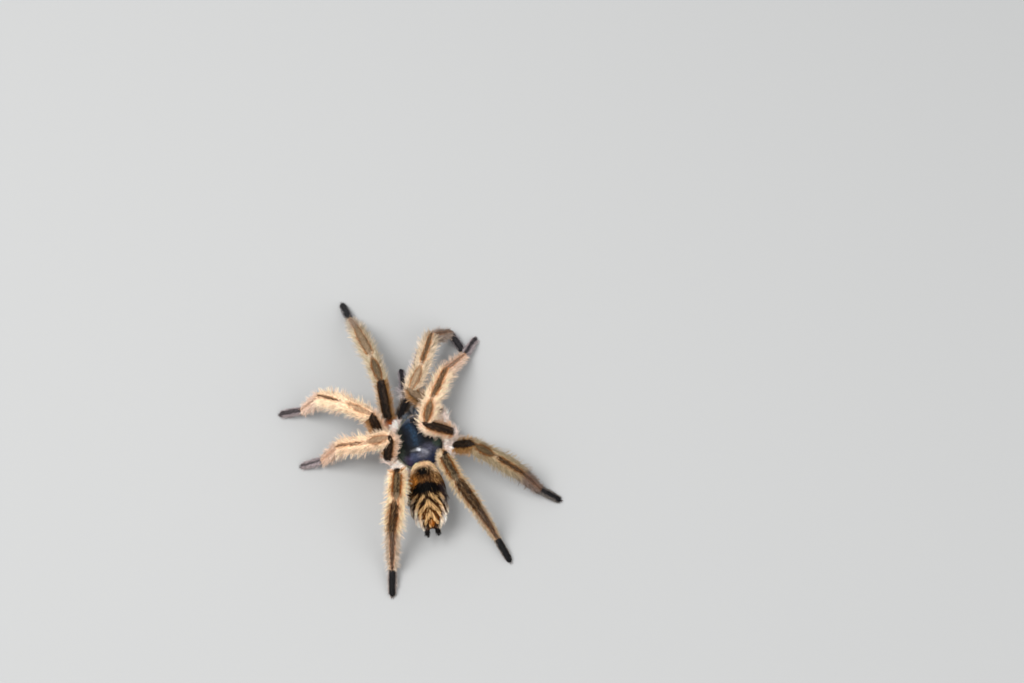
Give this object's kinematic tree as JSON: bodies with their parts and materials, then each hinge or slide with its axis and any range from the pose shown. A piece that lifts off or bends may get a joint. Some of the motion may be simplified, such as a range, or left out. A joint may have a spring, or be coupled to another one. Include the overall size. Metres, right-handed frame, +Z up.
{
  "type": "tarantula",
  "caption": "Life-size hairy tarantula standing on eight legs, with one front leg folded in over its dark shield; apricot-fringed legs and a banded abdomen.",
  "frame": {"origin": "middle of the underside of the bounding box, on the floor that the feet stand on", "axes": "+Y is the way that the spider faces, +X is the spider's own right side, +Z is up"},
  "size_m": [0.0814, 0.0982, 0.0245],
  "materials": {
    "carapace_shell": "blue-black chitin shield with a satin sheen and short dark down",
    "eye_shell": "black glossy eyes on a low mound",
    "fang_shell": "smooth black-brown fang",
    "jaw_coat": "short dark blue-grey hair",
    "underside_coat": "short dark brown hair, pale hair on the trochanters",
    "abdomen_coat": "long golden hair with a black spot and a black band",
    "spinneret_coat": "short dark brown hair",
    "palp_coat": "short grey-brown hair",
    "femur_coat": "dark brown above with orange-brown hair along the edges",
    "leg_coat": "apricot and cream hair beside a bare dark brown stripe",
    "metatarsus_coat": "pinkish cream hair with a narrow dark stripe",
    "foot_coat": "short black-grey hair"
  },
  "bodies": {
    "root": {"eye_tubercle": "eye_shell", "carapace": "carapace_shell", "sternum": "underside_coat", "abdomen": "abdomen_coat", "chelicera_l": "jaw_coat", "fang_l": "fang_shell", "spinneret_l": "spinneret_coat", "chelicera_r": "jaw_coat", "fang_r": "fang_shell", "spinneret_r": "spinneret_coat", "palp_l_femur": "palp_coat", "palp_l_patella": "palp_coat", "palp_l_tibia": "palp_coat", "palp_l_tarsus": "palp_coat", "palp_r_femur": "palp_coat", "palp_r_patella": "palp_coat", "palp_r_tibia": "palp_coat", "palp_r_tarsus": "palp_coat", "leg_l1_femur": "femur_coat", "leg_l1_patella": "leg_coat", "leg_l1_tibia": "leg_coat", "leg_l1_metatarsus": "metatarsus_coat", "leg_l1_tarsus": "foot_coat", "leg_l2_femur": "femur_coat", "leg_l2_patella": "leg_coat", "leg_l2_tibia": "leg_coat", "leg_l2_metatarsus": "metatarsus_coat", "leg_l2_tarsus": "foot_coat", "leg_l3_femur": "femur_coat", "leg_l3_patella": "leg_coat", "leg_l3_tibia": "leg_coat", "leg_l3_metatarsus": "metatarsus_coat", "leg_l3_tarsus": "foot_coat", "leg_l4_femur": "femur_coat", "leg_l4_patella": "leg_coat", "leg_l4_tibia": "leg_coat", "leg_l4_metatarsus": "metatarsus_coat", "leg_l4_tarsus": "foot_coat", "leg_r1_femur": "femur_coat", "leg_r1_patella": "leg_coat", "leg_r1_tibia": "leg_coat", "leg_r1_metatarsus": "metatarsus_coat", "leg_r1_tarsus": "foot_coat", "leg_r2_femur": "femur_coat", "leg_r2_patella": "leg_coat", "leg_r2_tibia": "leg_coat", "leg_r2_metatarsus": "metatarsus_coat", "leg_r2_tarsus": "foot_coat", "leg_r3_femur": "femur_coat", "leg_r3_patella": "leg_coat", "leg_r3_tibia": "leg_coat", "leg_r3_metatarsus": "metatarsus_coat", "leg_r3_tarsus": "foot_coat", "leg_r4_femur": "femur_coat", "leg_r4_patella": "leg_coat", "leg_r4_tibia": "leg_coat", "leg_r4_metatarsus": "metatarsus_coat", "leg_r4_tarsus": "foot_coat"}
  },
  "joints": []
}
